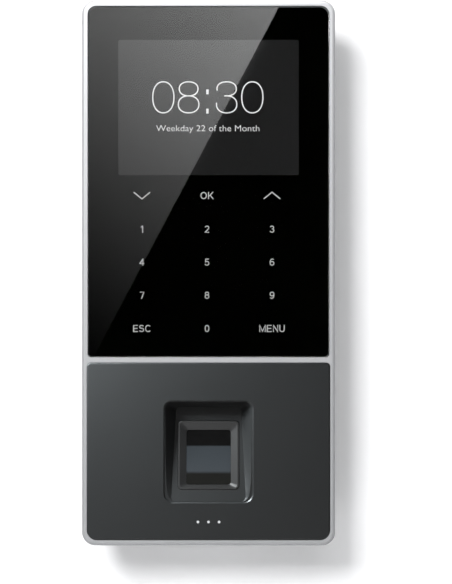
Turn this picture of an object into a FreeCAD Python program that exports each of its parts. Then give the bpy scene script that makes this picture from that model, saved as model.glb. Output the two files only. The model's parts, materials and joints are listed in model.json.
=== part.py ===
import FreeCAD, Part

# A wall-mounted fingerprint time terminal, as a parametric assembly of its separate pieces.
#
# The row frame has its origin on the wall, at the middle of the terminal: +X to the right as one faces
# the terminal, +Z up, and the wall at y = 0 with the terminal in front of it, towards -Y. Below, "near"
# and "far" are distances in front of the wall, so a piece from near to far fills y = -far to y = -near.
# The sensor pieces are drawn in the sensor's own frame, which leans back by the tilt of the finger rest.

import math
import os
import re

import Sketcher
from FreeCAD import Placement, Rotation, Vector

DIMENSIONS = [
    # Front frame
    ("face_width", 98.5, "front frame, across"),
    ("face_height", 212.0, "front frame, top to bottom"),
    ("face_far", 36.0, "front of the frame, from the wall"),
    ("frame_near", 24.0, "back edge of the frame, from the wall"),
    ("frame_wall", 2.2, "side wall of the frame"),
    ("frame_radius", 5.25, "outer corner of the frame"),
    ("gap", 0.15, "assembly gap round an inserted piece"),
    ("shelf", 2.5, "width of the shelf under a front piece"),
    ("shelf_far", 33.5, "front of the shelf under the window"),
    ("plate_near", 31.9, "back of the frame's front plate"),
    # Touch window and what is behind it
    ("window_width", 93.7, "touch window, across"),
    ("window_height", 136.3, "touch window, top to bottom"),
    ("window_z", 35.5, "middle of the touch window"),
    ("window_thick", 2.0, "window glass"),
    ("window_top_radius", 3.3, "upper corners of the window"),
    ("window_low_radius", 1.2, "lower corners of the window"),
    ("film", 0.22, "printed film, and the adhesive sheet"),
    ("view_width", 70.2, "lit area of the display, across"),
    ("view_height", 52.6, "lit area of the display, top to bottom"),
    ("view_z", 64.4, "middle of the lit area"),
    ("lcd_width", 76.9, "display module, across"),
    ("lcd_height", 63.9, "display module, top to bottom"),
    ("lcd_z", 66.95, "middle of the display module"),
    ("lcd_glass", 1.5, "display glass"),
    ("lcd_thick", 3.4, "display module with its backlight"),
    ("touch_width", 84.0, "touch key board, across"),
    ("touch_height", 64.2, "touch key board, top to bottom"),
    ("touch_z", 2.9, "middle of the touch key board"),
    ("key_pitch_x", 25.3, "touch keys, column to column"),
    ("key_pitch_z", 12.93, "touch keys, row to row"),
    ("key_x", -0.6, "middle column of keys"),
    ("key_z", 4.3, "middle row of keys"),
    # Lower panel and finger rest
    ("panel_width", 94.35, "lower panel, across"),
    ("panel_height", 68.75, "lower panel, top to bottom"),
    ("panel_z", -69.3, "middle of the lower panel"),
    ("panel_far", 36.3, "front of the lower panel, a little proud"),
    ("panel_thick", 2.3, "lower panel"),
    ("rest_width", 34.2, "mouth of the finger rest, across"),
    ("rest_height", 39.2, "mouth of the finger rest, top to bottom"),
    ("rest_z", -69.5, "middle of the finger rest"),
    ("rest_floor_width", 28.9, "floor of the finger rest, across its lower edge"),
    ("rest_top_width", 25.6, "floor of the finger rest, across its upper edge"),
    ("rest_floor_height", 37.4, "floor of the finger rest, along its slope"),
    ("rest_wall", 1.7, "wall of the finger rest's tub"),
    ("tilt", 12.0, "lean of the finger rest's floor, in degrees"),
    ("sensor_z", -70.7, "middle of the finger rest's floor"),
    ("sensor_far", 32.0, "middle of the floor, from the wall"),
    ("bezel_up", -0.3, "middle of the bezel, up the slope from the floor's middle"),
    ("pane_up", -1.0, "middle of the sensor glass, up the slope"),
    ("bezel_width", 23.8, "sensor bezel, across"),
    ("bezel_height", 27.0, "sensor bezel, along the slope"),
    ("bezel_corner", 1.6, "sensor bezel, corner radius"),
    ("pane_corner", 1.1, "sensor window, corner radius"),
    ("pane_width", 17.4, "sensor glass in sight, across"),
    ("pane_height", 21.6, "sensor glass in sight, along the slope"),
    # Rear housing
    ("rear_width", 93.7, "rear housing at its rim, across"),
    ("rear_height", 207.2, "rear housing at its rim, top to bottom"),
    ("rear_near", 0.8, "back of the rear housing, from the wall"),
    ("rim_far", 26.0, "front rim of the rear housing"),
    ("rear_taper", 4.0, "draft of the rear housing, in degrees"),
    ("rear_wall", 2.2, "side wall of the rear housing"),
    ("back_near", 4.4, "outer face of the back wall, behind the bracket's room"),
    ("back_far", 6.4, "inner face of the back wall"),
    ("niche_width", 75.0, "room for the wall bracket, across"),
    ("niche_height", 188.0, "room for the wall bracket, top to bottom"),
    ("bay_width", 62.0, "connector bay, across"),
    ("bay_height", 52.0, "connector bay, top to bottom"),
    ("bay_z", -6.0, "middle of the connector bay"),
    ("bay_far", 18.0, "floor of the connector bay"),
    ("bay_wall", 2.0, "walls of the connector bay"),
    ("fix_x", 41.0, "housing screws, from the middle"),
    ("fix_z", 97.6, "upper and lower housing screws, from the middle"),
    ("fix_mid_z", -33.8, "middle housing screws"),
    ("fix_head_radius", 2.3, "head of a housing screw"),
    ("fix_shank_radius", 1.2, "shank of a housing screw"),
    ("fix_seat", 20.0, "seat under a housing screw's head, from the wall"),
    # Wall bracket
    ("bracket_width", 73.6, "wall bracket, across"),
    ("bracket_top", 93.0, "upper edge of the bracket"),
    ("bracket_low", -86.0, "lower edge of the bracket, clear of the terminal as it lifts"),
    ("sheet", 1.5, "steel of the bracket"),
    ("port_width", 54.0, "cable opening of the bracket, across"),
    ("port_height", 44.0, "cable opening of the bracket, top to bottom"),
    ("hole_x", 29.0, "wall screw holes, from the middle"),
    ("hole_z", 80.0, "wall screw holes, from the middle"),
    ("hole_radius", 2.25, "wall screw hole"),
    ("slot_length", 12.0, "wall screw slot, end to end"),
    ("hook_x", 20.0, "hooks, from the middle"),
    ("hook_high", 70.0, "rest of the upper hooks"),
    ("hook_low", -50.0, "rest of the lower hooks"),
    ("hook_width", 9.0, "a hook"),
    ("hook_lip", 5.0, "lip of a hook above its rest"),
    ("hook_gap", 0.4, "play between a lip and the back wall"),
    ("tab_width", 20.0, "locking tab, across"),
    ("tab_far", 14.0, "end of the locking tab, from the wall"),
    ("tab_top", -100.3, "upper face of the locking tab"),
    ("lock_far", 9.0, "locking screw, from the wall"),
    # Boards
    ("board_width", 76.0, "main board, across"),
    ("board_height", 116.0, "main board, top to bottom"),
    ("board_z", 31.5, "middle of the main board"),
    ("board_near", 22.4, "back of the main board"),
    ("board", 1.6, "thickness of a board"),
    ("tamper_z", 62.0, "tamper switch"),
    ("light_z", -96.7, "indicator lights"),
    ("light_pitch", 4.1, "indicator lights, from one to the next"),
    ("light_radius", 0.5, "an indicator light"),
]

doc = FreeCAD.newDocument("fingerprint_terminal")
dims = doc.addObject("Spreadsheet::Sheet", "dims")
for row, (alias, number, meaning) in enumerate(DIMENSIONS, 1):
    dims.set(f"A{row}", meaning)
    dims.set(f"B{row}", str(number))
    dims.setAlias(f"B{row}", alias)
doc.recompute()

CELLS = {alias for alias, _, _ in DIMENSIONS}
calculator = doc.addObject("App::FeaturePython", "calculator")
calculator.addProperty("App::PropertyFloat", "Result")
NODES = []


def formula(text):
    """The formula with each of its dimensions written as a cell of the sheet."""
    return re.sub(r"[a-z_]+", lambda word: f"dims.{word[0]}" if word[0] in CELLS else word[0], str(text))


def number_of(text):
    """What a formula comes to with the sheet's present numbers."""
    calculator.setExpression("Result", formula(text))
    calculator.recompute()
    return calculator.Result


def bind(thing, **formulas):
    """Binds properties of an object to formulas; a double underscore stands for a dot."""
    for name, text in formulas.items():
        thing.setExpression(name.replace("__", "."), formula(text))


def node(label, thing):
    """Keeps an object as the sub-part that is written to parts/label.step."""
    thing.Label = label
    NODES.append(thing)
    return thing


# ---------------------------------------------------------------- Part primitives and booleans


def settle(solid, x, y, z, tilted, turn=None):
    """Binds a primitive's place. A tilted one is placed in the sensor's frame."""
    placed = solid.Placement
    if tilted:
        lean = Rotation(Vector(-1, 0, 0), number_of("tilt"))
        placed.Rotation = lean.multiply(turn) if turn else lean
        y, z = (
            f"({y}) * cos(tilt) + ({z}) * sin(tilt) - sensor_far",
            f"({z}) * cos(tilt) - ({y}) * sin(tilt) + sensor_z",
        )
    elif turn:
        placed.Rotation = turn
    solid.Placement = placed
    bind(solid, Placement__Base__x=x, Placement__Base__y=y, Placement__Base__z=z)
    return solid


def block(width, height, near, far, x="0", z="0", tilted=False):
    """A box, centred on x and z, from near to far."""
    solid = doc.addObject("Part::Box", "block")
    bind(solid, Length=width, Width=f"({far}) - ({near})", Height=height)
    return settle(solid, f"({x}) - ({width}) / 2", f"-({far})", f"({z}) - ({height}) / 2", tilted)


def rod(radius, near, far, x="0", z="0", tilted=False):
    """A cylinder that stands off the wall, from near to far."""
    solid = doc.addObject("Part::Cylinder", "rod")
    bind(solid, Radius=radius, Height=f"({far}) - ({near})")
    return settle(solid, x, f"-({near})", z, tilted, Rotation(Vector(1, 0, 0), 90))


def post(radius, low, top, x="0", far="0"):
    """An upright cylinder from low to top, far in front of the wall."""
    solid = doc.addObject("Part::Cylinder", "post")
    bind(solid, Radius=radius, Height=f"({top}) - ({low})")
    return settle(solid, x, f"-({far})", low, False)


def fuse(*solids):
    """The solids as one."""
    if len(solids) == 1:
        return solids[0]
    joined = doc.addObject("Part::MultiFuse", "fuse")
    joined.Shapes = list(solids)
    joined.Refine = True
    return joined


def cut(solid, *tools):
    """A solid without its tools."""
    left = doc.addObject("Part::Cut", "cut")
    left.Base = solid
    left.Tool = fuse(*tools)
    left.Refine = True
    return left


def group(*solids):
    """Separate solids that share one node."""
    together = doc.addObject("Part::Compound", "group")
    together.Links = list(solids)
    return together


# ---------------------------------------------------------------- PartDesign features


def new_body(name):
    """An empty body."""
    return doc.addObject("PartDesign::Body", name)


def lean_back(body):
    """Places a body that is drawn in the sensor's frame."""
    body.Placement = Placement(Vector(), Rotation(Vector(-1, 0, 0), number_of("tilt")))
    bind(body, Placement__Base__y="-sensor_far", Placement__Base__z="sensor_z")
    bind(body, Placement__Rotation__Angle="tilt")
    return body


def plane_of(body, role):
    return next(f for f in body.Origin.OriginFeatures if f.Role == role)


def sketch_on_wall_plane(body, name, near, x="0", z="0", leaning=False):
    """A sketch parallel to the wall, or to the finger rest's floor when it leans."""
    sketch = body.newObject("Sketcher::SketchObject", name)
    sketch.AttachmentSupport = [(plane_of(body, "XZ_Plane"), "")]
    sketch.MapMode = "FlatFace"
    bind(sketch, AttachmentOffset__Base__x=x)
    if leaning:
        sketch.AttachmentOffset = Placement(Vector(), Rotation(Vector(-1, 0, 0), number_of("tilt")))
        bind(
            sketch,
            AttachmentOffset__Base__y=f"sensor_z + ({z}) * cos(tilt) + ({near}) * sin(tilt)",
            AttachmentOffset__Base__z=f"sensor_far - ({z}) * sin(tilt) + ({near}) * cos(tilt)",
            AttachmentOffset__Rotation__Angle="tilt",
        )
    else:
        bind(sketch, AttachmentOffset__Base__y=z, AttachmentOffset__Base__z=near)
    return sketch


def dimension(sketch, name, constraint, text):
    """A named constraint bound to a formula."""
    sketch.renameConstraint(sketch.addConstraint(constraint), name)
    sketch.setExpression(f"Constraints.{name}", formula(text))


def draw_rectangle(sketch, width, height, top_radius, low_radius=None, top_width=None):
    """A rectangle with round corners, centred on the sketch's origin. It may be narrower at the top."""
    low_radius = low_radius or top_radius
    half_w, half_h = number_of(width) / 2, number_of(height) / 2
    top, low = number_of(top_radius), number_of(low_radius)
    first = sketch.GeometryCount
    right_angle = math.pi / 2

    def line(x1, y1, x2, y2):
        sketch.addGeometry(Part.LineSegment(Vector(x1, y1, 0), Vector(x2, y2, 0)), False)

    def corner(x, y, radius, start):
        circle = Part.Circle(Vector(x, y, 0), Vector(0, 0, 1), radius)
        sketch.addGeometry(Part.ArcOfCircle(circle, start, start + right_angle), False)

    line(low - half_w, -half_h, half_w - low, -half_h)
    line(half_w, low - half_h, half_w, half_h - top)
    line(half_w - top, half_h, top - half_w, half_h)
    line(-half_w, half_h - top, -half_w, low - half_h)
    corner(half_w - low, low - half_h, low, -right_angle)
    corner(half_w - top, half_h - top, top, 0)
    corner(top - half_w, half_h - top, top, right_angle)
    corner(low - half_w, low - half_h, low, 2 * right_angle)
    below, right, above, left, low_right, top_right, top_left, low_left = range(first, first + 8)
    start, end = 1, 2
    for before, after in (
        (below, low_right), (low_right, right), (right, top_right), (top_right, above),
        (above, top_left), (top_left, left), (left, low_left), (low_left, below),
    ):
        sketch.addConstraint(Sketcher.Constraint("Tangent", before, end, after, start))
    for flat in (below, above):
        sketch.addConstraint(Sketcher.Constraint("Horizontal", flat))
    if not top_width:
        for upright in (right, left):
            sketch.addConstraint(Sketcher.Constraint("Vertical", upright))
    sketch.addConstraint(Sketcher.Constraint("Equal", top_right, top_left))
    sketch.addConstraint(Sketcher.Constraint("Equal", low_right, low_left))
    origin = (-1, 1)
    key = f"r{first}_"
    dimension(sketch, key + "top", Sketcher.Constraint("Radius", top_right, top), top_radius)
    dimension(sketch, key + "low", Sketcher.Constraint("Radius", low_right, low), low_radius)
    sides = (
        ("right", Sketcher.Constraint("DistanceX", *origin, right, start, half_w), width),
        ("left", Sketcher.Constraint("DistanceX", left, end, *origin, half_w), width),
        ("above", Sketcher.Constraint("DistanceY", *origin, above, start, half_h), height),
        ("below", Sketcher.Constraint("DistanceY", below, start, *origin, half_h), height),
    )
    if top_width:
        narrow = number_of(top_width) / 2
        sides += (
            ("top_right", Sketcher.Constraint("DistanceX", *origin, right, end, narrow), top_width),
            ("top_left", Sketcher.Constraint("DistanceX", left, start, *origin, narrow), top_width),
        )
    for side, constraint, size in sides:
        dimension(sketch, key + side, constraint, f"({size}) / 2")
    return sketch


def plate(body, name, near, far, width, height, top_radius, low_radius=None, taper=None, **place):
    """Adds a plate with round corners, from near to far. A tapered one narrows towards the wall."""
    sketch = sketch_on_wall_plane(body, name + "_outline", far if taper else near, **place)
    draw_rectangle(sketch, width, height, top_radius, low_radius)
    pad = body.newObject("PartDesign::Pad", name)
    pad.Profile = sketch
    bind(pad, Length=f"({far}) - ({near})")
    if taper:
        pad.Reversed = True
        bind(pad, TaperAngle=f"-({taper})")
    sketch.Visibility = False
    return pad


def hollow(body, name, near, far, width, height, top_radius, low_radius=None, taper=None, **place):
    """Cuts a pocket with round corners, from far down to near."""
    sketch = sketch_on_wall_plane(body, name + "_outline", far, **place)
    draw_rectangle(sketch, width, height, top_radius, low_radius)
    pocket = body.newObject("PartDesign::Pocket", name)
    pocket.Profile = sketch
    bind(pocket, Length=f"({far}) - ({near})")
    if taper:
        bind(pocket, TaperAngle=f"-({taper})")
    return pocket


def edges_where(feature, test):
    """The names of a feature's edges whose every point passes the test."""
    names = []
    for index, edge in enumerate(feature.Shape.Edges, 1):
        points = [edge.valueAt(edge.getParameterByLength(edge.Length * share)) for share in (0, 0.5, 1)]
        if all(test(point) for point in points):
            names.append(f"Edge{index}")
    return names


def dress(body, kind, name, size, test):
    """Rounds (Fillet) or bevels (Chamfer) the edges of the body's tip that pass the test."""
    doc.recompute()
    base = body.Tip
    made = body.newObject(f"PartDesign::{kind}", name)
    made.Base = (base, edges_where(base, test))
    bind(made, **{"Radius" if kind == "Fillet" else "Size": size})
    body.Tip = made
    return made


def at_depth(near, slack=0.01):
    """A test for edges that lie in the plane near in front of the wall."""
    depth = number_of(near)
    return lambda point: abs(-point.y - depth) < slack


# ---------------------------------------------------------------- Wall bracket and its lock

BOTH = ("-1", "1")
HOOK_RESTS = ("hook_high", "hook_low")

bracket = new_body("bracket_plate")
plate(
    bracket, "bracket_sheet", "0", "sheet",
    "bracket_width", "bracket_top - bracket_low", "5", z="(bracket_top + bracket_low) / 2",
)
hollow(bracket, "cable_port", "-1", "sheet + 1", "port_width", "port_height", "4", z="bay_z")
hooks = []
for side in BOTH:
    for rest in HOOK_RESTS:
        x = f"{side} * hook_x"
        lip_near = "back_far + hook_gap"
        lip_far = f"{lip_near} + sheet"
        hooks.append(block("hook_width", "sheet", "sheet - 0.1", lip_far, x, f"{rest} - sheet / 2"))
        lip_z = f"{rest} + (hook_lip - sheet) / 2"
        hooks.append(block("hook_width", "hook_lip + sheet", lip_near, lip_far, x, lip_z))
tongue_low = "tab_top - sheet"
tongue_height = "bracket_low + 8 - tab_top + sheet"
tongue = block("tab_width", tongue_height, "0", "sheet", "0", f"{tongue_low} + ({tongue_height}) / 2")
tab = block("tab_width", "sheet", "0", "tab_far", "0", "tab_top - sheet / 2")
holes = [
    rod("hole_radius", "-1", "sheet + 1", f"{side} * hole_x", f"{height} * hole_z")
    for side in BOTH
    for height in BOTH
]
holes.append(post("fix_shank_radius + 0.6", "tab_top - 3", "tab_top + 1", "0", "lock_far"))
slots = []
for x, z in (("0", "82"), ("0", "-62"), ("-hole_x", "-45"), ("hole_x", "-45")):
    upright = x == "0"
    long_side = ("2 * hole_radius", "slot_length - 2 * hole_radius")
    slots.append(block(*(long_side if upright else reversed(long_side)), "-1", "sheet + 1", x, z))
    for end in BOTH:
        shift = f"{end} * (slot_length / 2 - hole_radius)"
        end_x, end_z = (x, f"{z} + {shift}") if upright else (f"{x} + {shift}", z)
        slots.append(rod("hole_radius", "-1", "sheet + 1", end_x, end_z))
node("wall_bracket", cut(fuse(bracket, tongue, tab, *hooks), *holes, *slots))

lock_head = post("2.85", "tab_top - sheet - 1.7", "tab_top - sheet", "0", "lock_far")
lock_shank = post("1.5", "tab_top - sheet - 0.1", "tab_top + 5.5", "0", "lock_far")
lock_socket = post("1.1", "tab_top - sheet - 2.7", "tab_top - sheet - 0.6", "0", "lock_far")
lock_pin = post("0.4", "tab_top - sheet - 1.5", "tab_top - sheet - 0.4", "0", "lock_far")
node("lock_screw", fuse(cut(fuse(lock_head, lock_shank), lock_socket), lock_pin))

insert_low, insert_top = "tab_top + 0.3", "tab_top + 6.3"
insert_body = post("2.1", insert_low, insert_top, "0", "lock_far")
insert_bore = post("1.55", "tab_top - 1", "tab_top + 7", "0", "lock_far")
node("lock_insert", cut(insert_body, insert_bore))

# ---------------------------------------------------------------- Rear housing

rear = new_body("rear_shell")
plate(rear, "shell", "rear_near", "rim_far", "rear_width", "rear_height", "4", taper="rear_taper")
dress(rear, "Fillet", "back_edge", "2.4", at_depth("rear_near"))
hollow(
    rear, "shell_inside", "back_far", "rim_far",
    "rear_width - 2 * rear_wall", "rear_height - 2 * rear_wall", "2.5", taper="rear_taper",
)
hollow(rear, "bracket_room", "-1", "back_near", "niche_width", "niche_height", "5")
plate(
    rear, "bay_walls", "back_near", "bay_far + 1.8",
    "bay_width + 2 * bay_wall", "bay_height + 2 * bay_wall", "4", z="bay_z",
)
hollow(rear, "bay", "-1", "bay_far", "bay_width", "bay_height", "2.5", z="bay_z")

FIX_POINTS = [(f"{side} * fix_x", z) for side in BOTH for z in ("fix_z", "fix_mid_z", "-fix_z")]
posts = [rod("4", "back_near + 1", "rim_far", x, z) for x, z in FIX_POINTS]
pads = [
    rod("3.5", "1.9", "back_near + 1", f"{side} * 31", f"{height} * 60")
    for side in BOTH
    for height in BOTH
]
lock_boss = block("26", "9.4", "back_near + 1", "17", "0", "-97.2")
speaker_ring = rod("10.6", "back_far - 1", "10", "28", "-85")
speaker_seat = cut(speaker_ring, rod("9.4", "back_far - 3", "12", "28", "-85"))
wells = [rod("fix_head_radius + 0.3", "-1", "fix_seat", x, z) for x, z in FIX_POINTS]
wells += [rod("fix_shank_radius + 0.2", "-1", "rim_far + 1", x, z) for x, z in FIX_POINTS]
hook_slots = [
    block("hook_width + 0.6", "10.1", "0", "back_far + 1", f"{side} * hook_x", f"{rest} - 4.95")
    for side in BOTH
    for rest in HOOK_RESTS
]
tongue_room = block("tab_width + 1", "20", "-1", "back_near", "0", "-niche_height / 2 - 6")
tab_room = block("tab_width + 1", "12", "-1", "tab_far + 0.4", "0", "tab_top + 0.2 - 6")
insert_hole = post("2.15", "tab_top", "tab_top + 6.4", "0", "lock_far")
ethernet_cut = block("12.4", "6", "10.4", "bay_far", "-12", "bay_z + bay_height / 2 + 1")
power_cut = block("8", "6", "11.4", "bay_far", "14", "bay_z + bay_height / 2 + 1")
usb_cut = block("13.7", "12", "13.8", "20.2", "-30", "-104")
tamper_hole = rod("1.48", "0", "12", "0", "tamper_z")
reset_hole = rod("0.8", "0", "bay_far + 5", "24", "8")
sound_slots = [block("1.6", "12", "9", "21", f"{20 + 3.2 * step}", "-104") for step in range(6)]
rear_solid = fuse(rear, *posts, *pads, lock_boss, speaker_seat)
node("rear_housing", cut(
    rear_solid, *wells, *hook_slots, tongue_room, tab_room, insert_hole,
    ethernet_cut, power_cut, usb_cut, tamper_hole, reset_hole, *sound_slots,
))

# ---------------------------------------------------------------- Front frame

frame = new_body("frame_form")
plate(frame, "frame_block", "frame_near", "face_far", "face_width", "face_height", "frame_radius")
dress(frame, "Fillet", "front_edge", "1.3", at_depth("face_far"))
dress(frame, "Fillet", "back_rim", "0.7", at_depth("frame_near"))
inside = "face_width - 2 * frame_wall", "face_height - 2 * frame_wall"
hollow(frame, "frame_inside", "frame_near - 1", "plate_near", *inside, "frame_radius - frame_wall + 0.4")
hollow(
    frame, "window_seat", "shelf_far", "face_far + 1", "window_width + 2 * gap", "window_height + 2 * gap",
    "window_top_radius + gap", "window_low_radius + gap", z="window_z",
)
hollow(
    frame, "window_port", "plate_near - 1", "shelf_far + 1",
    "window_width + 2 * gap - 2 * shelf", "window_height + 2 * gap - 2 * shelf", "1.5", z="window_z",
)
hollow(
    frame, "panel_seat", "panel_far - panel_thick", "face_far + 1", "panel_width + 2 * gap",
    "panel_height + 2 * gap", "1.5 + gap", "3.9 + gap", z="panel_z",
)
hollow(
    frame, "panel_port", "plate_near - 1", "face_far",
    "panel_width + 2 * gap - 2 * shelf", "panel_height + 2 * gap - 2 * shelf", "2", z="panel_z",
)
corner_blocks = [
    block("8.6", "8.6", "rim_far + 0.1", "plate_near + 0.1", f"{side} * 42.9", f"{height} * 99.6")
    for side in BOTH
    for height in BOTH
]
corner_blocks += [
    block("8.6", "6", "rim_far + 0.1", "plate_near + 0.1", f"{side} * 42.9", "fix_mid_z")
    for side in BOTH
]
pilots = [rod("fix_shank_radius + 0.05", "rim_far", "31", x, z) for x, z in FIX_POINTS]
node("front_frame", cut(fuse(frame, *corner_blocks), *pilots))

# ---------------------------------------------------------------- Touch window, display, touch keys

window_near = "face_far - window_thick"
film_far = f"{window_near} - 0.03"
window = new_body("touch_window")
plate(
    window, "glass", window_near, "face_far", "window_width", "window_height",
    "window_top_radius", "window_low_radius", z="window_z",
)
dress(window, "Chamfer", "glass_edge", "0.2", at_depth("face_far"))
node("touch_window", window)

film = new_body("legend_film")
plate(
    film, "sheet", f"{film_far} - film", film_far, "window_width - 0.6", "window_height - 0.6",
    "window_top_radius", "window_low_radius", z="window_z",
)
hollow(film, "view", "shelf_far - 1", "face_far", "view_width", "view_height", "0.6", z="view_z")
node("legend_film", film)

adhesive = new_body("window_adhesive")
plate(
    adhesive, "ring", "shelf_far", "shelf_far + film", "window_width - 0.6", "window_height - 0.6",
    "window_top_radius", "window_low_radius", z="window_z",
)
hollow(
    adhesive, "middle", "shelf_far - 1", "face_far", "window_width + 0.7 - 2 * shelf",
    "window_height + 0.7 - 2 * shelf", "1.5", z="window_z",
)
node("window_adhesive", adhesive)

lcd_far = "shelf_far + 0.1"
lcd = new_body("display_glass")
plate(lcd, "cell", f"{lcd_far} - lcd_glass", lcd_far, "lcd_width", "lcd_height", "0.6", z="lcd_z")
node("display_glass", lcd)
tray = new_body("tray")
plate(
    tray, "frame", f"{lcd_far} - lcd_thick", f"{lcd_far} - lcd_glass",
    "lcd_width", "lcd_height", "1", z="lcd_z",
)
node("display_backlight", tray)

touch_far = "shelf_far - 0.05"
touch = new_body("touch_board")
plate(touch, "touch_sheet", f"{touch_far} - 1", touch_far, "touch_width", "touch_height", "1", z="touch_z")
node("touch_key_board", touch)
touch_pads = [
    rod("4.6", f"{touch_far}", f"{touch_far} + 0.12", f"key_x + {column} * key_pitch_x",
        f"key_z + {row} * key_pitch_z")
    for column in range(-1, 2)
    for row in range(-2, 3)
]
node("touch_pads", group(*touch_pads))
touch_near = f"{touch_far} - 1"
node("touch_controller", block("9", "9", f"{touch_near} - 1", touch_near, "24", "-14"))
touch_flex = [
    block("16", "12", f"{touch_near} - 0.4", f"{touch_near} - 0.2", "-10", "-24"),
    block("16", "0.2", "25.2", f"{touch_near} - 0.2", "-10", "-29.9"),
    block("16", "8.6", "25.2", "25.4", "-10", "-25.7"),
]
node("touch_flex", fuse(*touch_flex))

# ---------------------------------------------------------------- Chassis and boards

board_far = "board_near + board"
chassis_sheet = new_body("chassis_sheet")
plate(chassis_sheet, "sheet", "27.4", "28.6", "86", "124", "2", z="32.6")
hollow(chassis_sheet, "display_flex_slot", "26", "30", "26", "1.6", "0.6", z="30.1")
hollow(chassis_sheet, "lower_port", "26", "30", "50", "22", "2", z="-8")
STAND_POINTS = [(f"{side} * 34", z) for side in BOTH for z in ("84", "-21")]
stands = [rod("2.6", board_far, "27.5", x, z) for x, z in STAND_POINTS]
stand_holes = [rod("1.05", "board_near - 1", "30", x, z) for x, z in STAND_POINTS]
node("chassis", cut(fuse(chassis_sheet, *stands), *stand_holes))

main_board = new_body("main_board_sheet")
plate(main_board, "board", "board_near", board_far, "board_width", "board_height", "1.5", z="board_z")
board_holes = [rod("1.15", "board_near - 1", "30", x, z) for x, z in STAND_POINTS]
node("main_board", cut(main_board, *board_holes))


def screws(points, head_radius, shank_radius, head_near, head_thick, length):
    """Pan-head screws driven away from the wall, each head with a cross recess."""
    made = []
    for x, z in points:
        head = rod(head_radius, head_near, f"{head_near} + {head_thick}", x, z)
        shank = rod(shank_radius, f"{head_near} + {head_thick} - 0.1", f"{head_near} + {length}", x, z)
        recess = [
            block(wide, tall, f"{head_near} - 1", f"{head_near} + 0.8", x, z)
            for wide, tall in (("2.4", "0.5"), ("0.5", "2.4"))
        ]
        made.append(cut(fuse(head, shank), *recess))
    return group(*made)


node("housing_screws", screws(
    FIX_POINTS, "fix_head_radius", "fix_shank_radius", "fix_seat - 1.7", "1.7", "12",
))
node("board_screws", screws(STAND_POINTS, "2", "1", "board_near - 1.4", "1.4", "6"))

node("processor", block("14", "14", "board_near - 1.3", "board_near", "-17", "66"))
node("memory_chips", group(*[
    block("9", "12", "board_near - 1", "board_near", "-31", z) for z in ("58", "74")
]))
can = block("18", "20", "board_near - 2.6", "board_near", "21", "48")
node("shield_can", cut(can, block("17.4", "19.4", "board_near - 2.3", "board_near + 1", "21", "48")))
node("capacitors", group(*[
    rod("3.6", "board_near - 9", "board_near", "-31", z) for z in ("33", "43")
]))
coil = block("8", "8", "board_near - 3.6", "board_near", "29", "30")
node("inductor", coil)
sockets = [
    block("24", "3.4", board_far, "25.6", "0", "19"),
    block("18", "3.4", board_far, "25.6", "-10", "-19.6"),
    block("12", "4", "board_near - 1.8", "board_near", "8", "-24"),
]
node("board_connectors", group(*sockets))
display_flex = [
    block("22", "13", "29.6", "29.8", "0", "36.5"),
    block("22", "0.2", "25.2", "29.8", "0", "30.1"),
    block("22", "9.2", "25.2", "25.4", "0", "25.6"),
]
node("display_flex", fuse(*display_flex))

holder = fuse(
    rod("11", "board_near - 1", "board_near", "22", "75"),
    block("5", "24", "board_near - 5", "board_near", "22", "75"),
)
coin = "22", "75"
cell_room = rod("10.1", "board_near - 4.4", "board_near - 1", *coin)
node("cell_holder", cut(holder, cell_room))
node("coin_cell", rod("10", "board_near - 4.35", "board_near - 1.05", *coin))

# ---------------------------------------------------------------- Connectors of the bay

bay_roof = "bay_z + bay_height / 2"
jack_z = f"{bay_roof} + 2.2 + 10.3"
jack = block("16", "20.6", "9", "board_near", "-12", jack_z)
jack_mouth = block("11.8", "30", "10.8", "17.6", "-12", f"{bay_roof} + 3")
latch_room = block("4.2", "12", "17", "19.6", "-12", f"{bay_roof} + 6")
node("ethernet_jack", cut(jack, jack_mouth, latch_room))
contacts = [
    block("0.5", "9", "11", "11.8", f"-12 + {1.05 * (wire - 3.5)}", f"{bay_roof} + 12.4")
    for wire in range(8)
]
node("ethernet_contacts", group(*contacts))
socket_far = "14.9"
power_block = block("9", "13.8", "11.2", "board_near", "14", f"{bay_roof} + 2.2 + 6.9")
power_bore = post("2.75", f"{bay_roof}", f"{bay_roof} + 12", "14", socket_far)
node("power_jack", cut(power_block, power_bore))
node("power_pin", post("0.95", f"{bay_roof} + 3", f"{bay_roof} + 12", "14", socket_far))
node("rating_label", block("40", "22", "bay_far - 0.15", "bay_far", "0", "bay_z - 10"))

# ---------------------------------------------------------------- Tamper switch and reset button

switch_body = block("7", "7", "17.6", "board_near", "0", "tamper_z")
node("tamper_switch", switch_body)
plunger_stem = rod("1.4", "sheet + 0.1", "13.4", "0", "tamper_z")
plunger_collar = rod("2.4", "9", "10", "0", "tamper_z")
node("tamper_plunger", fuse(plunger_stem, plunger_collar))
spring = new_body("spring_body")
bind(spring, Placement__Base__z="tamper_z")
wire = spring.newObject("Sketcher::SketchObject", "wire")
wire.AttachmentSupport = [(plane_of(spring, "YZ_Plane"), "")]
wire.MapMode = "FlatFace"
wire.addGeometry(Part.Circle(Vector(-10.2, 1.95, 0), Vector(0, 0, 1), 0.2), False)
dimension(wire, "thick", Sketcher.Constraint("Radius", 0, 0.2), "0.2")
dimension(wire, "start", Sketcher.Constraint("DistanceX", 0, 3, -1, 1, 10.2), "10.2")
dimension(wire, "coil", Sketcher.Constraint("DistanceY", -1, 1, 0, 3, 1.95), "1.95")
coiled = spring.newObject("PartDesign::AdditiveHelix", "coil")
coiled.Profile = wire
coiled.ReferenceAxis = (plane_of(spring, "Y_Axis"), [""])
coiled.Mode = 0
coiled.Reversed = True
bind(coiled, Pitch="1.5", Height="7")
node("tamper_spring", spring)

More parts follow.
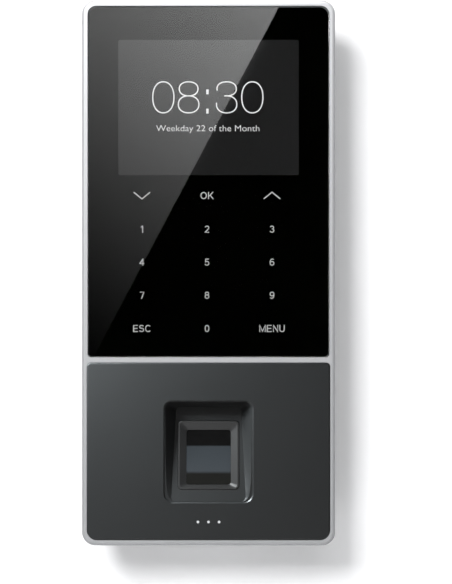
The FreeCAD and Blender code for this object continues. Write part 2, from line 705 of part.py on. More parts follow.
reset_case = block("4", "4", "board_near - 1.6", "board_near", "24", "8")
node("reset_switch", cut(reset_case, rod("0.96", "18", "board_near - 0.5", "24", "8")))
node("reset_button", rod("0.9", "board_near - 2.3", "board_near - 0.9", "24", "8"))

# ---------------------------------------------------------------- Lower panel with its finger rest

panel_near = "panel_far - panel_thick"
panel = new_body("panel_form")
plate(
    panel, "panel_plate", panel_near, "panel_far", "panel_width", "panel_height", "1.5", "3.9",
    z="panel_z",
)
dress(panel, "Fillet", "panel_edge", "0.5", at_depth("panel_far"))


def free_rectangle(name, width, height, top_radius, low_radius, x, z, near, leaning=False, top_width=None):
    """A rounded rectangle outside any body, for a loft."""
    sketch = doc.addObject("Sketcher::SketchObject", name)
    draw_rectangle(sketch, width, height, top_radius, low_radius, top_width)
    if leaning:
        turn = Rotation(Vector(-1, 0, 0), number_of("tilt")).multiply(Rotation(Vector(1, 0, 0), 90))
        y = f"({z}) * sin(tilt) - ({near}) * cos(tilt) - sensor_far"
        z = f"({z}) * cos(tilt) + ({near}) * sin(tilt) + sensor_z"
    else:
        turn = Rotation(Vector(1, 0, 0), 90)
        y = f"-({near})"
    sketch.Placement = Placement(Vector(), turn)
    bind(sketch, Placement__Base__x=x, Placement__Base__y=y, Placement__Base__z=z)
    return sketch


def loft(name, *sections):
    """A solid that passes from one outline to the other."""
    made = doc.addObject("Part::Loft", name)
    made.Sections = list(sections)
    made.Solid = True
    made.Ruled = True
    return made


tub_outside = loft(
    "tub_outside",
    free_rectangle("tub_mouth", "rest_width + 2 * rest_wall", "rest_height + 2 * rest_wall", "4.4", "5",
                   "0", "rest_z", "panel_far - 0.5"),
    free_rectangle("tub_floor", "rest_floor_width + 2 * rest_wall", "rest_floor_height + 2 * rest_wall",
                   "3.4", "3.9", "0", "0", "-rest_wall", leaning=True,
                   top_width="rest_top_width + 2 * rest_wall"),
)
rest_room = loft(
    "rest_room",
    free_rectangle("rest_mouth", "rest_width", "rest_height", "2.7", "3.5", "0", "rest_z", "panel_far"),
    free_rectangle("rest_floor", "rest_floor_width", "rest_floor_height", "1.8", "2.2", "0", "0", "0",
                   leaning=True, top_width="rest_top_width"),
)
rest_bevel = loft(
    "rest_bevel",
    free_rectangle("bevel_mouth", "rest_width + 0.8", "rest_height + 0.8", "3.1", "3.9",
                   "0", "rest_z", "panel_far"),
    free_rectangle("bevel_foot", "rest_width - 0.1", "rest_height - 0.1", "2.7", "3.5",
                   "0", "rest_z", "panel_far - 0.45"),
)
sensor_port = lean_back(new_body("sensor_port"))
plate(
    sensor_port, "port", "-6", "6",
    "bezel_width + 2 * gap", "bezel_height + 2 * gap", "bezel_corner + gap", z="bezel_up",
)
LIGHTS = [f"{side} * light_pitch" for side in range(-1, 2)]
pip_holes = [rod("light_radius + 0.05", "30", "40", x, "light_z") for x in LIGHTS]
node("lower_panel", cut(fuse(panel, tub_outside), rest_room, rest_bevel, sensor_port, *pip_holes))

# ---------------------------------------------------------------- Fingerprint sensor

bezel = lean_back(new_body("bezel_form"))
plate(bezel, "rim", "-2.5", "0.2", "bezel_width", "bezel_height", "bezel_corner", z="bezel_up")
dress(bezel, "Fillet", "rim_edge", "0.25", lambda point: abs(-point.y - 0.2) < 0.01)
funnel_mouth = sketch_on_wall_plane(bezel, "funnel_mouth", "0.3", z="bezel_up")
draw_rectangle(funnel_mouth, "bezel_width - 1", "bezel_height - 1", "bezel_corner - 0.2")
funnel_foot = sketch_on_wall_plane(bezel, "funnel_foot", "-1.2", z="pane_up")
draw_rectangle(funnel_foot, "pane_width", "pane_height", "pane_corner")
funnel = bezel.newObject("PartDesign::SubtractiveLoft", "funnel")
funnel.Profile = funnel_mouth
funnel.Sections = [funnel_foot]
funnel.Ruled = True
bezel.Tip = funnel
hollow(bezel, "pane_port", "-4", "-1", "pane_width", "pane_height", "pane_corner", z="pane_up")
node("sensor_bezel", bezel)

prism = lean_back(new_body("prism_form"))
plate(prism, "prism_block", "-9.5", "-2.6", "pane_width + 2", "pane_height + 2", "0.6", z="pane_up")
plate(
    prism, "pane", "-2.7", "-1.25",
    "pane_width - 0.1", "pane_height - 0.1", "pane_corner - 0.05", z="pane_up",
)
node("sensor_prism", prism)

sensor_rim = "bezel_width + 1.2", "bezel_height + 2"
sensor_shell = block(*sensor_rim, "-20", "-3.2", "0", "bezel_up", tilted=True)
prism_room = block("pane_width + 2.2", "pane_height + 2.2", "-12", "0", "0", "pane_up", tilted=True)
light_room = block("bezel_width - 1.6", "bezel_height - 1", "-21", "-10", "0", "bezel_up", tilted=True)
node("sensor_housing", cut(sensor_shell, prism_room, light_room))
gasket = block("bezel_width + 0.8", "bezel_height + 1.4", "-3.1", "-2.6", "0", "bezel_up", tilted=True)
node("sensor_gasket", cut(gasket, prism_room))
node("sensor_lens", rod("3.6", "-19", "-15", "0", "0", tilted=True))
node("sensor_lights", group(*[
    block("2.2", "2.2", "-20", "-18.8", f"{side} * 8", f"{height} * 9", tilted=True)
    for side in BOTH
    for height in BOTH
]))
node("sensor_board", block(*sensor_rim, "-21.6", "-20", "0", "bezel_up", tilted=True))
sensor_cable = [
    block("10", "4.4", "8.4", "8.7", "8", "-57.9"),
    block("10", "0.3", "8.4", "21.3", "8", "-55.85"),
    block("10", "30", "21", "21.3", "8", "-41"),
]
node("sensor_cable", fuse(*sensor_cable))

# ---------------------------------------------------------------- Indicator lights, antennas

guide_bar = block("14", "3.4", f"{panel_near} - 2", f"{panel_near} - 0.1", "0", "light_z")
guide_pips = [
    rod("light_radius - 0.02", f"{panel_near} - 0.2", "panel_far + 0.05", x, "light_z") for x in LIGHTS
]
node("light_guide", fuse(guide_bar, *guide_pips))
node("indicator_board", block("18", "8", "29", "30.2", "0", "light_z"))
node("indicator_lights", group(*[
    block("1.6", "1.6", "30.2", "31", x, "light_z") for x in LIGHTS
]))

ring = new_body("card_ring")
plate(ring, "loop", f"{panel_near} - 0.7", f"{panel_near} - 0.1", "74", "50", "4", z="panel_z")
hollow(ring, "loop_inside", "30", "36", "64", "45.2", "3", z="panel_z")
node("card_antenna", ring)
antenna = new_body("radio_board")
plate(antenna, "board", "back_far + 0.05", "back_far + 0.85", "26", "7", "1", x="-18", z="94.5")
node("radio_antenna", antenna)

# ---------------------------------------------------------------- Loudspeaker and service port

horn = "28", "-85"
basket = cut(rod("9.2", "back_far + 0.1", "12", *horn), rod("8.2", "8", "13", *horn))
node("speaker_basket", basket)
node("speaker_cone", cut(rod("8", "9.6", "11", *horn), rod("3", "10.4", "12", *horn)))
port_shell = block("13.1", "14", "14.1", "19.9", "-30", "-95.6")
node("service_port", cut(port_shell, block("12.5", "12", "14.4", "19.6", "-30", "-97.2")))
node("port_tongue", block("11", "8.7", "17.6", "19.2", "-30", "-95.6"))
node("port_board", block("16", "16", "20", "21.2", "-30", "-85"))

# ---------------------------------------------------------------- Checks and export

doc.recompute()
wrong = [thing.Name for thing in doc.Objects if {"Invalid", "Error"} & set(thing.State)]
if wrong:
    raise SystemExit("objects that did not build: " + ", ".join(wrong))
os.makedirs("parts", exist_ok=True)
for thing in NODES:
    if thing.Shape.isNull() or not thing.Shape.isValid():
        raise SystemExit(f"{thing.Label} has no valid shape")
    thing.Shape.exportStep(f"parts/{thing.Label}.step")
print(f"{len(NODES)} sub-parts written")
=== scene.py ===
import json
import math

import bpy
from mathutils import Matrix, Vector


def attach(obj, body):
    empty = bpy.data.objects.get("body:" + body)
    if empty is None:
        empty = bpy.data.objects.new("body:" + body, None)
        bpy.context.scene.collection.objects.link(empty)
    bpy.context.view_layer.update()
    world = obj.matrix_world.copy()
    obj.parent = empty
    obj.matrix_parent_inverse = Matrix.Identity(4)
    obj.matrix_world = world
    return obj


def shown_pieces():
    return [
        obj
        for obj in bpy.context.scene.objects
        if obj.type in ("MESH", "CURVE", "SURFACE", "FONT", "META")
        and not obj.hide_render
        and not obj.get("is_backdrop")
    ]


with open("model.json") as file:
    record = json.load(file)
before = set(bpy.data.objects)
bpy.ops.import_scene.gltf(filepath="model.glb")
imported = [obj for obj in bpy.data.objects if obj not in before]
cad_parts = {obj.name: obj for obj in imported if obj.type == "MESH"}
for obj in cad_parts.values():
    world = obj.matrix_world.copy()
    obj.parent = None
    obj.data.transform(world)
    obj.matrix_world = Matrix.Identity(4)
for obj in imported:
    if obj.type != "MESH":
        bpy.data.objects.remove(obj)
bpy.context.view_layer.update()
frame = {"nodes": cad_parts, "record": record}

MM = 0.001
TERMINAL = "terminal"


# ---------------------------------------------------------------- Materials


def shader(name):
    """A new node material, its tree and its principled shader."""
    material = bpy.data.materials.new(name)
    material.use_nodes = True
    tree = material.node_tree
    return material, tree, tree.nodes["Principled BSDF"]


def noise(tree, scale, detail=3.0, stretch=(1, 1, 1)):
    """Noise in the object's own space, with features about 1 / scale metres wide."""
    place = tree.nodes.new("ShaderNodeTexCoord")
    mapping = tree.nodes.new("ShaderNodeMapping")
    mapping.inputs["Scale"].default_value = stretch
    tree.links.new(place.outputs["Object"], mapping.inputs["Vector"])
    made = tree.nodes.new("ShaderNodeTexNoise")
    made.inputs["Scale"].default_value = scale
    made.inputs["Detail"].default_value = detail
    tree.links.new(mapping.outputs["Vector"], made.inputs["Vector"])
    return made.outputs["Fac"]


def ramp(tree, value, stops):
    """A colour ramp fed by the value; stops are (position, colour)."""
    made = tree.nodes.new("ShaderNodeValToRGB")
    elements = made.color_ramp.elements
    while len(elements) < len(stops):
        elements.new(0.5)
    for element, (position, colour) in zip(elements, stops):
        element.position = position
        element.color = (*colour, 1)
    tree.links.new(value, made.inputs["Fac"])
    return made.outputs["Color"]


def spread(tree, value, low, high):
    """The value, about 0.3 to 0.7 from a noise, spread from low to high."""
    made = tree.nodes.new("ShaderNodeMapRange")
    made.inputs["From Min"].default_value = 0.3
    made.inputs["From Max"].default_value = 0.7
    made.inputs["To Min"].default_value = low
    made.inputs["To Max"].default_value = high
    tree.links.new(value, made.inputs["Value"])
    return made.outputs["Result"]


def bump(tree, principled, value, strength, depth):
    """Raises the surface with the value, by up to depth metres."""
    made = tree.nodes.new("ShaderNodeBump")
    made.inputs["Strength"].default_value = strength
    made.inputs["Distance"].default_value = depth
    tree.links.new(value, made.inputs["Height"])
    tree.links.new(made.outputs["Normal"], principled.inputs["Normal"])


def finish(name, colour, rough, metal=0.0, mottle=0.08, grain=2500, stretch=(1, 1, 1),
           strength=0.15, depth=0.00005, coat=0.0, glow=0.0, gloss=0.5):
    """A finish that is a little uneven in colour and in gloss, with a fine grain."""
    material, tree, principled = shader(name)
    broad = noise(tree, 45)
    fine = noise(tree, grain, 2.0, stretch)
    dark = [channel * (1 - mottle) for channel in colour]
    light = [min(1.0, channel * (1 + mottle)) for channel in colour]
    shade = ramp(tree, broad, [(0.3, dark), (0.7, light)])
    tree.links.new(shade, principled.inputs["Base Color"])
    gloss_map = spread(tree, fine, rough * 0.85, min(1.0, rough * 1.15))
    tree.links.new(gloss_map, principled.inputs["Roughness"])
    principled.inputs["Metallic"].default_value = metal
    principled.inputs["Specular IOR Level"].default_value = gloss
    principled.inputs["Coat Weight"].default_value = coat
    principled.inputs["Coat Roughness"].default_value = 0.08
    if glow:
        tree.links.new(shade, principled.inputs["Emission Color"])
        principled.inputs["Emission Strength"].default_value = glow
    bump(tree, principled, fine, strength, depth)
    return material


def clear_glass(name, colour, rough):
    """Glass with the faint smears of handling."""
    material, tree, principled = shader(name)
    smear = noise(tree, 60, 4.0)
    shade = ramp(tree, smear, [(0.3, [c * 0.99 for c in colour]), (0.7, colour)])
    tree.links.new(shade, principled.inputs["Base Color"])
    tree.links.new(spread(tree, smear, rough * 0.5, rough), principled.inputs["Roughness"])
    principled.inputs["Transmission Weight"].default_value = 1.0
    principled.inputs["IOR"].default_value = 1.5
    return material


def up_the_object(tree, low, high):
    """0 at the height low and 1 at the height high, in metres."""
    place = tree.nodes.new("ShaderNodeTexCoord")
    split = tree.nodes.new("ShaderNodeSeparateXYZ")
    made = tree.nodes.new("ShaderNodeMapRange")
    tree.links.new(place.outputs["Object"], split.inputs["Vector"])
    tree.links.new(split.outputs["Z"], made.inputs["Value"])
    made.inputs["From Min"].default_value = low
    made.inputs["From Max"].default_value = high
    return made.outputs["Result"]


def prism_painted_reflection():
    """The coated face of the prism, with a painted reflection: a cool grey band across its middle, dark
    above and below it.
    """
    material, tree, principled = shader("prism_painted_reflection")
    height = up_the_object(tree, -82.4 * MM, -61.0 * MM)
    # Painted reflection: these tones stand in for the lit and dark surroundings mirrored in the tilted
    # prism face, not for its own colour.
    black, grey = (0.003, 0.003, 0.003), (0.034, 0.040, 0.045)
    low, pale = (0.010, 0.010, 0.009), (0.042, 0.048, 0.054)
    painted_reflection_bands = [(0.0, low), (0.19, low), (0.24, pale), (0.68, grey), (0.70, black), (1.0, black)]
    tree.links.new(ramp(tree, height, painted_reflection_bands), principled.inputs["Base Color"])
    tree.links.new(spread(tree, noise(tree, 300), 0.12, 0.2), principled.inputs["Roughness"])
    principled.inputs["Specular IOR Level"].default_value = 0.05
    return material


def circuit(name, mask, copper):
    """Solder mask with tracks that show through as a lighter maze."""
    material, tree, principled = shader(name)
    place = tree.nodes.new("ShaderNodeTexCoord")
    mapping = tree.nodes.new("ShaderNodeMapping")
    mapping.inputs["Rotation"].default_value = (math.radians(90), 0, 0)
    tracks = tree.nodes.new("ShaderNodeTexBrick")
    tracks.inputs["Scale"].default_value = 300
    tracks.inputs["Mortar Size"].default_value = 0.03
    tracks.inputs["Color1"].default_value = (*mask, 1)
    tracks.inputs["Color2"].default_value = (*[c * 0.85 for c in mask], 1)
    tracks.inputs["Mortar"].default_value = (*copper, 1)
    tree.links.new(place.outputs["Object"], mapping.inputs["Vector"])
    tree.links.new(mapping.outputs["Vector"], tracks.inputs["Vector"])
    tree.links.new(tracks.outputs["Color"], principled.inputs["Base Color"])
    tree.links.new(spread(tree, noise(tree, 900), 0.25, 0.4), principled.inputs["Roughness"])
    bump(tree, principled, tracks.outputs["Fac"], 0.3, 0.00003)
    return material


FINISHES = {
    "frame_paint": finish("frame_paint", (0.29, 0.294, 0.302), 0.42, metal=0.25, mottle=0.015, grain=9000),
    "panel_black": finish(
        "panel_black", (0.0078, 0.0080, 0.0080), 0.42, mottle=0.05, grain=6000, strength=0.35,
    ),
    "housing_black": finish("housing_black", (0.028, 0.028, 0.030), 0.55, grain=4000, strength=0.4),
    "window_glass": clear_glass("window_glass", (0.98, 0.99, 0.99), 0.01),
    "film_black": finish("film_black", (0.0003, 0.0005, 0.0002), 0.35, strength=0.0, gloss=0.0),
    "adhesive": finish("adhesive", (0.02, 0.02, 0.02), 0.8, strength=0.4),
    "display": finish(
        "display", (0.0025, 0.0025, 0.0025), 0.04, mottle=0.03, strength=0.0, glow=5.0, gloss=0.42,
    ),
    "backlight": finish("backlight", (0.75, 0.76, 0.78), 0.5),
    "board_green": circuit("board_green", (0.012, 0.11, 0.045), (0.05, 0.22, 0.07)),
    "board_black": circuit("board_black", (0.012, 0.012, 0.014), (0.04, 0.04, 0.03)),
    "chip_black": finish("chip_black", (0.02, 0.02, 0.022), 0.5, grain=5000, strength=0.3),
    "connector_white": finish("connector_white", (0.70, 0.67, 0.58), 0.45),
    "zinc_steel": finish(
        "zinc_steel", (0.50, 0.51, 0.53), 0.36, metal=1.0, mottle=0.12, grain=900, stretch=(1, 8, 14),
    ),
    "bright_steel": finish("bright_steel", (0.62, 0.63, 0.65), 0.22, metal=1.0, mottle=0.05),
    "screw_steel": finish("screw_steel", (0.40, 0.41, 0.43), 0.3, metal=1.0, mottle=0.1),
    "brass": finish("brass", (0.62, 0.45, 0.16), 0.3, metal=1.0),
    "gold": finish("gold", (0.80, 0.58, 0.20), 0.25, metal=1.0),
    "can_tin": finish("can_tin", (0.60, 0.60, 0.61), 0.35, metal=1.0, mottle=0.1),
    "flex_amber": finish("flex_amber", (0.45, 0.18, 0.02), 0.3, mottle=0.12),
    "ribbon_grey": finish("ribbon_grey", (0.32, 0.33, 0.35), 0.5, grain=1500, stretch=(6, 0.1, 0.1)),
    "label_white": finish("label_white", (0.72, 0.72, 0.70), 0.5, mottle=0.02, strength=0.05),
    "bezel_black": finish("bezel_black", (0.022, 0.022, 0.022), 0.42, mottle=0.04, strength=0.04),
    "prism_glass": prism_painted_reflection(),
    "lens_glass": clear_glass("lens_glass", (0.85, 0.86, 0.95), 0.03),
    "sensor_black": finish("sensor_black", (0.015, 0.015, 0.015), 0.6, strength=0.3),
    "lamp_white": finish("lamp_white", (0.20, 0.205, 0.21), 0.3, mottle=0.02, glow=2.2),
    "spring_steel": finish("spring_steel", (0.35, 0.35, 0.37), 0.3, metal=1.0),
    "white_plastic": finish("white_plastic", (0.68, 0.68, 0.65), 0.45),
    "cone_paper": finish("cone_paper", (0.03, 0.027, 0.024), 0.85, grain=1200, strength=0.6),
    "coin_steel": finish("coin_steel", (0.60, 0.60, 0.58), 0.25, metal=1.0),
    "ferrite": finish("ferrite", (0.07, 0.07, 0.075), 0.6, strength=0.4),
}

slot_of = {part["node"]: part["material_slot"] for part in frame["record"]["subparts"]}
for node, thing in frame["nodes"].items():
    for place in thing.material_slots:
        place.link = "OBJECT"
        place.material = FINISHES[slot_of[node]]


# ---------------------------------------------------------------- Lit marks behind the glass


def flat_mesh(name, outlines, depth, material):
    """Faces that look to the viewer, from outlines of (x, z) points in millimetres."""
    points, faces = [], []
    for outline in outlines:
        start = len(points)
        points += [(x * MM, -depth * MM, z * MM) for x, z in outline]
        faces.append(list(range(start, len(points))))
    mesh = bpy.data.meshes.new(name)
    mesh.from_pydata(points, [], faces)
    mesh.validate()
    for face in mesh.polygons:
        if face.normal.y > 0:
            face.flip()
    mesh.materials.append(material)
    thing = bpy.data.objects.new(name, mesh)
    bpy.context.scene.collection.objects.link(thing)
    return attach(thing, TERMINAL)


def stroke(path, width, closed=False):
    """Quads that follow a path of (x, z) points with a pen of the given width."""
    line = [Vector(point) for point in path]
    count = len(line)
    sides = []
    for index, point in enumerate(line):
        before = line[index - 1] if index or closed else point
        after = line[(index + 1) % count] if index < count - 1 or closed else point
        along = (after - before).normalized()
        across = Vector((-along.y, along.x))
        leaving = (after - point if after != point else point - before).normalized()
        lean = max(0.45, abs(along.dot(leaving)))
        across *= width / 2 / lean
        sides.append((point + across, point - across))
    if closed:
        sides.append(sides[0])
    return [[a[0], b[0], b[1], a[1]] for a, b in zip(sides, sides[1:])]


def loop(x, z, half_w, half_h, start=0, end=360, square=2.2, steps=56):
    """Points of a squarish ellipse, from one angle to another in degrees."""
    path = []
    for step in range(steps + 1):
        angle = math.radians(start + (end - start) * step / steps)
        c, s = math.cos(angle), math.sin(angle)
        path.append((
            x + half_w * math.copysign(abs(c) ** (2 / square), c),
            z + half_h * math.copysign(abs(s) ** (2 / square), s),
        ))
    return path


def clock_faces():
    """The clock face, 08:30 in a thin pen, in millimetres."""
    pen, low, high = 0.48, 62.1, 74.65
    first_zero, eight, three, last_zero = -17.6, -7.75, 7.05, 17.05
    waist = low + 0.545 * (high - low)
    foot, head = low + pen / 2, high - pen / 2
    upper_z, upper_h = (waist + head) / 2, (head - waist) / 2
    lower_z, lower_h = (waist + foot) / 2, (waist - foot) / 2

    def ring(x, z, half_w, half_h):
        return stroke(loop(x, z, half_w, half_h)[:-1], pen, closed=True)

    faces = []
    for zero in (first_zero, last_zero):
        faces += ring(zero, (low + high) / 2, 4.12, (head - foot) / 2)
    faces += ring(eight, upper_z, 3.65, upper_h)
    faces += ring(eight, lower_z, 4.0, lower_h)
    faces += stroke(loop(three, upper_z, 3.75, upper_h, 192, -90), pen)
    faces += stroke(loop(three, lower_z, 3.95, lower_h, 90, -190), pen)
    faces += stroke([(three - 0.9, waist), (three + 0.1, waist)], pen)
    left, right, half_dot = -0.9, 0.05, 0.95
    for z in (63.0, 70.5):
        low_dot, top_dot = z - half_dot, z + half_dot
        faces.append([(left, low_dot), (right, low_dot), (right, top_dot), (left, top_dot)])
    return faces


def word(name, text, x, z, cap, width, depth, material, thin):
    """Flat lettering, centred on (x, z), with its cap height and width in millimetres."""
    curve = bpy.data.curves.new(name, "FONT")
    curve.body = text
    curve.offset = thin
    curve.resolution_u = 6
    source = bpy.data.objects.new(name + "_source", curve)
    bpy.context.scene.collection.objects.link(source)
    bpy.context.view_layer.update()
    mesh = bpy.data.meshes.new_from_object(source)
    bpy.data.objects.remove(source)
    across = [v.co.x for v in mesh.vertices]
    scale_x = width / (max(across) - min(across))
    scale_z = cap / max(v.co.y for v in mesh.vertices)
    middle = (max(across) + min(across)) / 2
    for v in mesh.vertices:
        flat_x, flat_z = v.co.x, v.co.y
        v.co = (
            (x + (flat_x - middle) * scale_x) * MM,
            -depth * MM,
            (z - cap / 2 + flat_z * scale_z) * MM,
        )
    mesh.name = name
    mesh.materials.clear()
    mesh.materials.append(material)
    thing = bpy.data.objects.new(name, mesh)
    bpy.context.scene.collection.objects.link(thing)
    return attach(thing, TERMINAL)


clock_light = finish("clock_light", (0.10, 0.10, 0.10), 0.5, mottle=0.02, strength=0.02, glow=7.0)
date_light = finish("date_light", (0.09, 0.09, 0.09), 0.5, mottle=0.02, strength=0.02, glow=6.5)
legend_light = finish("legend_light", (0.08, 0.08, 0.08), 0.5, mottle=0.03, strength=0.02, glow=5.5)

SCREEN, PRINT = 33.63, 33.98
flat_mesh("clock_digits", clock_faces(), SCREEN, clock_light)
word(
    "date_line", "Weekday 22 of the Month", -0.3, 56.35, 2.35, 40.2,
    SCREEN, date_light, -0.005,
)

PEN = 0.128
EDGE = PEN / 2
FAR = 1 - EDGE


def glyphs():
    """Centre lines of the key legends, one unit tall: each a width and its paths."""
    round_six = loop(0.33, 0.33, 0.26, 0.26, square=2.1) + [(0.59, 0.34)]
    back_six = loop(0.37, 0.5, 0.30, 0.43, 50, 195, square=2.1)
    turned = [[(0.66 - x, 1 - z) for x, z in path] for path in (round_six, back_six)]
    ring = loop(0.33, 0.5, 0.26, 0.43)
    return {
        "0": (0.66, [ring]),
        "1": (0.60, [[(0.12, 0.76), (0.40, 0.92)], [(0.40, 0), (0.40, 1)]]),
        "2": (0.66, [loop(0.33, 0.70, 0.25, 0.23, 170, -40) + [(0.08, EDGE), (0.64, EDGE)]]),
        "3": (0.66, [
            loop(0.32, 0.735, 0.23, 0.195, 165, -90),
            loop(0.32, 0.305, 0.26, 0.235, 90, -165),
        ]),
        "4": (0.70, [[(0.48, 0), (0.48, 1)], [(0.48, 0.95), (0.08, 0.30), (0.68, 0.30)]]),
        "5": (0.66, [
            [(0.60, FAR), (0.17, FAR), (0.12, 0.46)],
            loop(0.32, 0.335, 0.27, 0.265, 140, -165),
        ]),
        "6": (0.66, [round_six, back_six]),
        "7": (0.66, [[(0.05, FAR), (0.60, FAR), (0.26, 0)]]),
        "8": (0.66, [loop(0.33, 0.74, 0.225, 0.195), loop(0.33, 0.30, 0.26, 0.235)]),
        "9": (0.66, turned),
        "O": (0.84, [loop(0.42, 0.5, 0.35, 0.43, square=2.15)]),
        "K": (0.72, [[(EDGE, 0), (EDGE, 1)], [(0.66, 1), (0.10, 0.38)], [(0.28, 0.56), (0.69, 0)]]),
        "E": (0.68, [
            [(0.64, FAR), (EDGE, FAR), (EDGE, EDGE), (0.66, EDGE)],
            [(EDGE, 0.51), (0.60, 0.51)],
        ]),
        "S": (0.70, [loop(0.35, 0.73, 0.26, 0.20, 20, 270) + loop(0.35, 0.30, 0.28, 0.23, 90, -165)]),
        "C": (0.78, [loop(0.42, 0.5, 0.35, 0.43, 40, 320, square=2.15)]),
        "M": (0.86, [[(EDGE, 0), (EDGE, 0.95), (0.43, 0.1), (0.79, 0.95), (0.79, 0)]]),
        "N": (0.72, [[(EDGE, 0), (EDGE, 0.95), (0.65, 0.05), (0.65, 1)]]),
        "U": (0.72, [[(EDGE, 1)] + loop(0.36, 0.35, 0.29, 0.28, 180, 360) + [(0.65, 1)]]),
    }


GLYPHS = glyphs()


def legend(name, text, x, z, cap, width=None):
    """A key's legend in the pen's lettering, centred on (x, z)."""
    space = 0.14
    natural = sum(GLYPHS[letter][0] for letter in text) + space * (len(text) - 1)
    across = width / natural if width else cap
    left, faces = x - natural * across / 2, []
    for letter in text:
        wide, paths = GLYPHS[letter]
        for path in paths:
            placed = [(left + px * across, z + (pz - 0.5) * cap) for px, pz in path]
            faces += stroke(placed, PEN * cap)
        left += (wide + space) * across
    return flat_mesh(name, faces, PRINT, legend_light)


COLUMNS = (-25.9, -0.6, 24.7)
ROWS = (30.13, 17.04, 4.23, -8.66, -21.59)
KEYS = (("down", "OK", "up"), ("1", "2", "3"), ("4", "5", "6"), ("7", "8", "9"), ("ESC", "0", "MENU"))
WIDTHS = {"OK": 5.1, "ESC": 6.8, "MENU": 9.9}
for row, z in zip(KEYS, ROWS):
    for key, x in zip(row, COLUMNS):
        if key in ("down", "up"):
            rise = 1.3 if key == "up" else -1.3
            chevron = stroke([(x - 3.2, z - rise), (x, z + rise), (x + 3.2, z - rise)], 0.42)
            flat_mesh("legend_" + key, chevron, PRINT, legend_light)
        else:
            legend("legend_" + key.lower(), key, x, z, 2.75, WIDTHS.get(key))


# ---------------------------------------------------------------- Wall, floor, light and camera

CAMERA = Vector((6.8, -792.0, -7.4)) * MM


def card(name, corners, material, **rays):
    """A flat piece of the set from its corners in metres, and which rays see it."""
    mesh = bpy.data.meshes.new(name)
    mesh.from_pydata([tuple(corner) for corner in corners], [], [list(range(len(corners)))])
    mesh.materials.append(material)
    thing = bpy.data.objects.new(name, mesh)
    bpy.context.scene.collection.objects.link(thing)
    for ray, seen in rays.items():
        setattr(thing, "visible_" + ray, seen)
    thing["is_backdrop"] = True
    return thing


def one_sided(material):
    """Makes the back of a material clear, so that the wall doesn't hide the back of the terminal."""
    tree = material.node_tree
    side = tree.nodes.new("ShaderNodeNewGeometry")
    clear = tree.nodes.new("ShaderNodeBsdfTransparent")
    mix = tree.nodes.new("ShaderNodeMixShader")
    tree.links.new(side.outputs["Backfacing"], mix.inputs["Fac"])
    tree.links.new(tree.nodes["Principled BSDF"].outputs["BSDF"], mix.inputs[1])
    tree.links.new(clear.outputs["BSDF"], mix.inputs[2])
    tree.links.new(mix.outputs["Shader"], tree.nodes["Material Output"].inputs["Surface"])
    return material


wall_white = one_sided(finish(
    "wall_white", (0.90, 0.90, 0.91), 0.9, mottle=0.01, grain=700, strength=0.05, glow=0.14,
))
floor_white = finish("floor_white", (0.80, 0.80, 0.80), 0.85, mottle=0.01, grain=700, strength=0.05)
card("wall", [(-2, 0.0004, -0.45), (2, 0.0004, -0.45), (2, 0.0004, 2), (-2, 0.0004, 2)], wall_white)
card("floor", [(-2, -2, -0.45), (2, -2, -0.45), (2, 2, -0.45), (-2, 2, -0.45)], floor_white)


def mirrored(x, z):
    """The point that the camera sees mirrored at (x, z) on the window, in millimetres."""
    return Vector((2 * x * MM - CAMERA.x, CAMERA.y - 2 * MM, 2 * z * MM - CAMERA.z))


SKY_SLOPE = (0.7824, 0, 1.0863)
SKY_MIDDLE = 0.18
SKY_POWER = 2.2
SKY_GAIN = 14.3


def sky_panel():
    """A panel of light that fades downwards and to the left."""
    material = bpy.data.materials.new("sky_panel")
    material.use_nodes = True
    tree = material.node_tree
    tree.nodes.clear()
    place = tree.nodes.new("ShaderNodeTexCoord")
    slope = tree.nodes.new("ShaderNodeVectorMath")
    slope.operation = "DOT_PRODUCT"
    slope.inputs[1].default_value = SKY_SLOPE
    base = tree.nodes.new("ShaderNodeMath")
    base.operation = "ADD"
    base.use_clamp = True
    base.inputs[1].default_value = SKY_MIDDLE
    power = tree.nodes.new("ShaderNodeMath")
    power.operation = "POWER"
    power.inputs[1].default_value = SKY_POWER
    gain = tree.nodes.new("ShaderNodeMath")
    gain.operation = "MULTIPLY"
    gain.inputs[1].default_value = SKY_GAIN
    light = tree.nodes.new("ShaderNodeEmission")
    out = tree.nodes.new("ShaderNodeOutputMaterial")
    tree.links.new(place.outputs["Object"], slope.inputs[0])
    tree.links.new(slope.outputs["Value"], base.inputs[0])
    tree.links.new(base.outputs["Value"], power.inputs[0])
    tree.links.new(power.outputs["Value"], gain.inputs[0])
    tree.links.new(gain.outputs["Value"], light.inputs["Strength"])
    tree.links.new(light.outputs["Emission"], out.inputs["Surface"])
    return material


only_in_glass = {"camera": False, "diffuse": False, "shadow": False, "volume_scatter": False}
panel_corners = [mirrored(*corner) for corner in ((33.4, 115), (-60, 115), (-60, -40), (-48.6, -40))]
card("sky_panel", panel_corners, sky_panel(), **only_in_glass)
flag_black = finish("flag_black", (0.0004, 0.0004, 0.0004), 1.0, gloss=0.0)
behind_panel = Vector((0, -0.004, 0))
flag = [mirrored(x, z) + behind_panel for x, z in ((-90, -75), (90, -75), (90, 140), (-90, 140))]
card("black_flag", flag, flag_black, **only_in_glass)


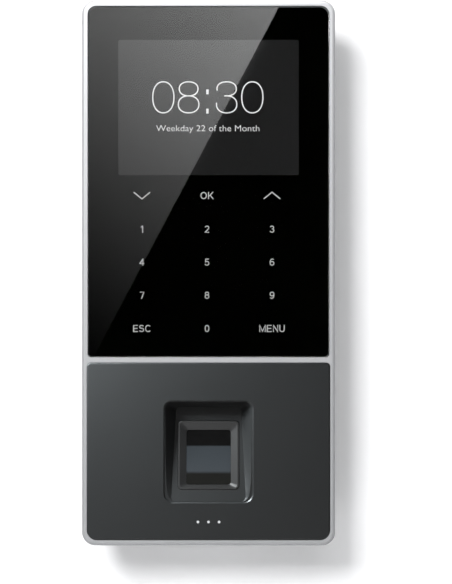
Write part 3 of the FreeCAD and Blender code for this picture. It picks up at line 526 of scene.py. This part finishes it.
def softbox(name, place, target, size, watts):
    """A square area light that faces its target."""
    data = bpy.data.lights.new(name, "AREA")
    data.shape = "SQUARE"
    data.size = size
    data.energy = watts
    thing = bpy.data.objects.new(name, data)
    thing.location = place
    thing.rotation_euler = (Vector(target) - Vector(place)).to_track_quat("-Z", "Y").to_euler()
    bpy.context.scene.collection.objects.link(thing)
    return thing


key = softbox("key", (-0.36, -1.00, 0.43), (0, 0, 0), 0.42, 14.5)
softbox("fill", (0.1, -1.5, 0.3), (0, 0, 0), 1.6, 1.0)
softbox("back", (0.7, 1.2, 0.8), (0, 0, 0), 0.9, 14)


def only(name, things, light):
    """The light falls on these things and on nothing else."""
    lit = bpy.data.collections.new(name)
    bpy.context.scene.collection.children.link(lit)
    for thing in things:
        lit.objects.link(thing)
    light.light_linking.receiver_collection = lit


rest_nodes = ("lower_panel", "sensor_bezel", "sensor_prism")
rest = [frame["nodes"][name] for name in rest_nodes]
others = [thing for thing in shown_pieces() if thing not in rest]
stage = [bpy.data.objects["wall"], bpy.data.objects["floor"]]
only("stage_only", stage, softbox("wash", (0.04, -0.9, 0.6), (0, 0, 0), 0.5, 2.2))
above = softbox("above", (-0.02, -0.22, 0.34), (0, 0, 0.06), 0.12, 2.1)
only("all_but_rest", others, above)
only("all_but_rest_and_stage", others + stage, key)
sheen = softbox("sheen", (-0.115, -0.09, 0.04), (0, 0, -0.07), 0.08, 1.75)
sheen.data.color = (0.88, 0.96, 1.0)
only("panel_only", rest[:1], sheen)
glint = softbox("glint", (-0.11, -0.12, 0.08), (0, 0, -0.07), 0.14, 1.05)
glint.data.color = (0.94, 0.98, 1.0)
only("sensor_only", rest[1:], glint)

world = bpy.data.worlds.new("studio")
bpy.context.scene.world = world
world.use_nodes = True
world.node_tree.nodes["Background"].inputs["Color"].default_value = (0.86, 0.88, 0.90, 1)
world.node_tree.nodes["Background"].inputs["Strength"].default_value = 0.15

lens = bpy.data.cameras.new("camera")
lens.lens = 120
lens.sensor_width = 36
lens.clip_start = 0.01
camera = bpy.data.objects.new("camera", lens)
camera.location = CAMERA
camera.rotation_euler = (math.radians(90), 0, 0)
bpy.context.scene.collection.objects.link(camera)
bpy.context.scene.camera = camera
bpy.context.scene.view_settings.view_transform = "Standard"
